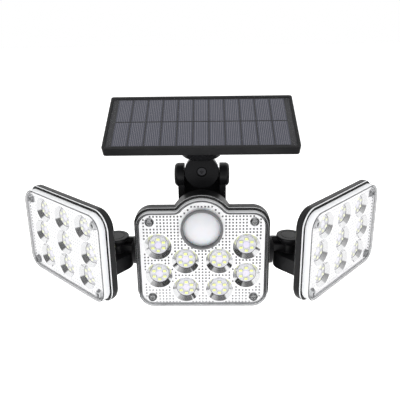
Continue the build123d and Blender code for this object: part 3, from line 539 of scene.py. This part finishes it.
# Painted haze: the side heads' LEDs get paler copies of the same colours, for how they look
# through slanted covers
painted_haze_phosphor = plastic(
    "painted_haze_led_window", (0.80, 0.82, 0.58), (0.88, 0.89, 0.68), 0.35, 0.5, SATIN)
core_lilac = plastic(
    "led_core", (0.66, 0.62, 0.88), (0.74, 0.70, 0.94), 0.3, 0.4, SMOOTH)
painted_haze_core = plastic(
    "painted_haze_led_core", (0.70, 0.69, 0.76), (0.78, 0.77, 0.83), 0.3, 0.4, SMOOTH)
# The main head's LEDs in their own colours, the side heads' in the painted haze copies
led_looks = {
    "main": (phosphor, core_lilac),
    "left": (painted_haze_phosphor, painted_haze_core),
    "right": (painted_haze_phosphor, painted_haze_core),
}
facet_silver = silvered("facet_silver")
finger_silver = plastic(
    "finger_silver", (0.13, 0.13, 0.15), (0.17, 0.17, 0.19), 0.4, 0.5, FLAT)
solder = metal("solder", (0.6, 0.6, 0.62), (0.75, 0.75, 0.76), 0.2, 0.35)
for head, front in fronts.items():
    name = f"{head}_reflector"
    looks[name] = reflector(name, front, levels(name, front)[0])
    looks[f"{head}_cover"] = clear_cover(f"{head}_cover", front)


def wear(piece, material):
    """Give a piece one material."""
    piece.data.materials.clear()
    piece.data.materials.append(material)


for part in frame["record"]["subparts"]:
    name = part["node"]
    wear(nodes[name], looks.get(name) or looks[part["material_slot"]])


# Added pieces on the LED boards, the reflectors and the solar cells

def join_rows(shape, rows):
    """Close a stack of equal point loops into a solid."""
    for lower, upper in zip(rows, rows[1:]):
        count = len(lower)
        for k in range(count):
            after = (k + 1) % count
            shape.faces.new((lower[k], lower[after], upper[after], upper[k]))
    shape.faces.new(rows[-1])
    shape.faces.new(list(reversed(rows[0])))


def slab(shape, centre, axes, sizes, soften):
    """Add a slab with softened upper edges to a mesh: axes are its width, height and rise."""
    width, height, rise = (axis * size for axis, size in zip(axes, sizes))
    inset = 1 - 2 * soften / min(sizes[0], sizes[1])
    rows = []
    for level, scale in ((0.0, 1.0), (EDGE_LEVEL, 1.0), (1.0, inset)):
        points = [centre + (width * x + height * y) * scale + rise * level for x, y in CORNERS]
        rows.append([shape.verts.new(point) for point in points])
    join_rows(shape, rows)


def disc(shape, centre, axes, radius, rise, soften):
    """Add a low disc with a softened rim to a mesh."""
    turns = [2 * pi * k / DISC_SIDES for k in range(DISC_SIDES)]
    spokes = [axes[0] * cos(a) + axes[1] * sin(a) for a in turns]
    rows = []
    for level, size in ((0.0, radius), (EDGE_LEVEL, radius), (1.0, radius - soften)):
        points = [centre + spoke * size + axes[2] * rise * level for spoke in spokes]
        rows.append([shape.verts.new(point) for point in points])
    join_rows(shape, rows)


def wedge(shape, centre, axes):
    """Add a square facet to a mesh, its lower edge raised so that it leans upwards."""
    rows = [[], []]
    for x, y in CORNERS:
        corner = centre + (axes[0] * x + axes[1] * y) * FACET_SIDE
        rise = FACET_FOOT + (0.5 - y) * FACET_SIDE * FACET_LEAN
        rows[0].append(shape.verts.new(corner))
        rows[1].append(shape.verts.new(corner + axes[2] * rise))
    join_rows(shape, rows)


def add_object(name, data):
    """Put a mesh, light or camera into the scene."""
    made = bpy.data.objects.new(name, data)
    bpy.context.collection.objects.link(made)
    return made


def add_mesh(name, shape, material):
    """Put a finished mesh into the scene, with its material."""
    mesh = bpy.data.meshes.new(name)
    shape.to_mesh(mesh)
    shape.free()
    made = add_object(name, mesh)
    wear(made, material)
    return made


def make_piece(name, shape, material, body):
    """Turn a finished mesh into a piece that rides on a body."""
    piece = add_mesh(name, shape, material)
    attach(piece, body)


def dress_leds(head, body):
    """Phosphor windows and solder pads on every chip, and a core in the middle of every ring."""
    axes = head_axes(head)
    front = axes[2]
    windows, pads, cores = bmesh.new(), bmesh.new(), bmesh.new()
    centres = []
    for centre, (width, height, rise) in boxes(f"{head}_led_chips", axes):
        top = centre + front * rise / 2
        foot = centre - front * rise / 2
        centres.append(foot)
        inner = height - 2 * WINDOW_MARGIN
        window = (width - 2 * WINDOW_MARGIN, inner, WINDOW_RISE)
        slab(windows, top, axes, window, WINDOW_MARGIN / 2)
        for side in (-1, 1):
            at = foot + axes[0] * side * (width + PAD_LENGTH) / 2
            slab(pads, at, axes, (PAD_LENGTH, inner, PAD_RISE), PAD_RISE)
    for ring in rings(centres):
        disc(cores, sum(ring, Vector()) / len(ring), axes, CORE_RADIUS, CORE_RISE, CORE_RISE)
    window_look, core_look = led_looks[head]
    make_piece(f"{head}_led_windows", windows, window_look, body)
    make_piece(f"{head}_led_pads", pads, solder, body)
    make_piece(f"{head}_led_cores", cores, core_look, body)


def dress_reflector(head, body):
    """Rows of small facets on a reflector's sheet, wherever a whole one clears bowls and holes."""
    name = f"{head}_reflector"
    axes = head_axes(head)
    front = axes[2]
    mesh = nodes[name].data
    points, faces = [v.co for v in mesh.vertices], [p.vertices for p in mesh.polygons]
    surface = BVHTree.FromPolygons(points, faces)
    spans = [levels(name, axis) for axis in axes]
    middle = axes[0] * sum(spans[0]) / 2 + axes[1] * sum(spans[1]) / 2 + front * spans[2][1]
    counts = [int((span[1] - span[0]) / 2 / FACET_PITCH) for span in spans[:2]]
    reach = FACET_SIDE / 2 + FACET_MARGIN
    probes = [(x * reach, y * reach) for x in (-1, 0, 1) for y in (-1, 0, 1)]

    def on_sheet(point):
        """Whether flat sheet lies under the whole facet at a point."""
        for x, y in probes:
            start = point + axes[0] * x + axes[1] * y + front * PROBE_HEIGHT
            distance = surface.ray_cast(start, -front)[3]
            if distance is None or abs(distance - PROBE_HEIGHT) > PROBE_SLACK:
                return False
        return True

    facets = bmesh.new()
    for column in range(-counts[0], counts[0] + 1):
        for row in range(-counts[1], counts[1] + 1):
            centre = middle + (axes[0] * column + axes[1] * row) * FACET_PITCH
            if on_sheet(centre):
                wedge(facets, centre, axes)
    make_piece(f"{head}_reflector_facets", facets, facet_silver, body)


def dress_cells():
    """Dark coating on every solar cell, with printed silver fingers on it."""
    axes = cell_axes()
    coating, fingers = bmesh.new(), bmesh.new()
    for centre, (width, height, rise) in boxes("solar_cells", axes):
        top = centre + axes[2] * rise / 2
        slab(coating, top, axes, (width, height, COATING_RISE), COATING_RISE)
        count = int((width - 2 * CELL_BORDER) / FINGER_PITCH)
        finger = (FINGER_WIDTH, height - 2 * CELL_BORDER, FINGER_RISE)
        for k in range(count):
            at = top + axes[0] * (k - (count - 1) / 2) * FINGER_PITCH + axes[2] * COATING_RISE
            slab(fingers, at, axes, finger, FINGER_RISE)
    make_piece("cell_coating", coating, looks["cell_silicon"], "solar_panel")
    make_piece("cell_fingers", fingers, finger_silver, "solar_panel")


for head, body in HEADS.items():
    dress_leds(head, body)
    dress_reflector(head, body)
dress_cells()


# Studio

def make_floor():
    """Plain pale floor below the lamp."""
    shape = bmesh.new()
    bmesh.ops.create_grid(shape, x_segments=1, y_segments=1, size=FLOOR_SIZE / 2)
    pale = plastic("floor", (0.86, 0.86, 0.86), (0.90, 0.90, 0.90), 0.8, 0.9, SMOOTH,
                   Emission_Color=(*WHITE, 1.0), Emission_Strength=FLOOR_GLOW)
    floor = add_mesh("floor", shape, pale)
    floor.location.z = cad_box[0].z - FLOOR_DROP
    floor.visible_glossy = False


def make_room():
    """White room that is dark in front, as a light tent with an open front is."""
    world = bpy.data.worlds.new("room")
    bpy.context.scene.world = world
    world.use_nodes = True
    tree = world.node_tree
    out = tree.nodes["Background"]
    way = add_node(tree, "ShaderNodeTexCoord").outputs["Generated"]
    rise, turn = radians(DARK_ELEVATION), radians(DARK_TURN)
    towards = dot(tree, way, (-sin(turn) * cos(rise), -cos(turn) * cos(rise), sin(rise)))
    shade = remap(tree, towards, cos(radians(DARK_EDGE)), cos(radians(DARK_CORE)), 0.0, 1.0)
    aside = dot(tree, way, DIM_TOWARDS)
    dark = remap(tree, aside, DIM_FROM, DIM_TO, ROOM_DARK, ROOM_DIM, "LINEAR")
    loss = calc(tree, "MULTIPLY", shade, calc(tree, "SUBTRACT", ROOM_LIGHT, dark))
    light = calc(tree, "SUBTRACT", ROOM_LIGHT, loss)
    seen = add_node(tree, "ShaderNodeLightPath").outputs["Is Camera Ray"]
    out.inputs["Color"].default_value = (*WHITE, 1.0)
    feed(tree, out.inputs["Strength"], calc(tree, "MAXIMUM", light, seen))


def make_soft_box(name, place, size, power):
    """Large soft box aimed at the lamp, which lights it but isn't mirrored in it."""
    data = bpy.data.lights.new(name, "AREA")
    data.shape = "RECTANGLE"
    data.size, data.size_y = size
    data.energy = power
    soft_box = add_object(name, data)
    soft_box.location = place
    aim = LIGHT_TARGET - Vector(place)
    soft_box.rotation_euler = aim.to_track_quat("-Z", "Y").to_euler()
    soft_box.visible_camera = False
    soft_box.visible_glossy = False


def make_camera():
    """Camera at the photograph's place and angle."""
    down, yaw, roll = (radians(a) for a in (CAMERA_DOWN, CAMERA_YAW, CAMERA_ROLL))
    right = Vector((cos(yaw), sin(yaw), 0))
    ahead = Vector((-sin(yaw) * cos(down), cos(yaw) * cos(down), -sin(down)))
    up = right.cross(ahead)
    rolled_right = right * cos(roll) - up * sin(roll)
    rolled_up = right * sin(roll) + up * cos(roll)
    data = bpy.data.cameras.new("camera")
    data.lens = CAMERA_LENS
    data.sensor_width = CAMERA_SENSOR
    data.shift_y = CAMERA_SHIFT
    data.clip_start = CAMERA_NEAR
    camera = add_object("camera", data)
    turn = Matrix((rolled_right, rolled_up, -ahead)).transposed()
    camera.matrix_world = Matrix.Translation(CAMERA_AT) @ turn.to_4x4()
    bpy.context.scene.camera = camera


make_floor()
make_room()
for name, soft_box in SOFT_BOXES.items():
    make_soft_box(name, *soft_box)
make_camera()
bpy.context.scene.view_settings.view_transform = "Standard"
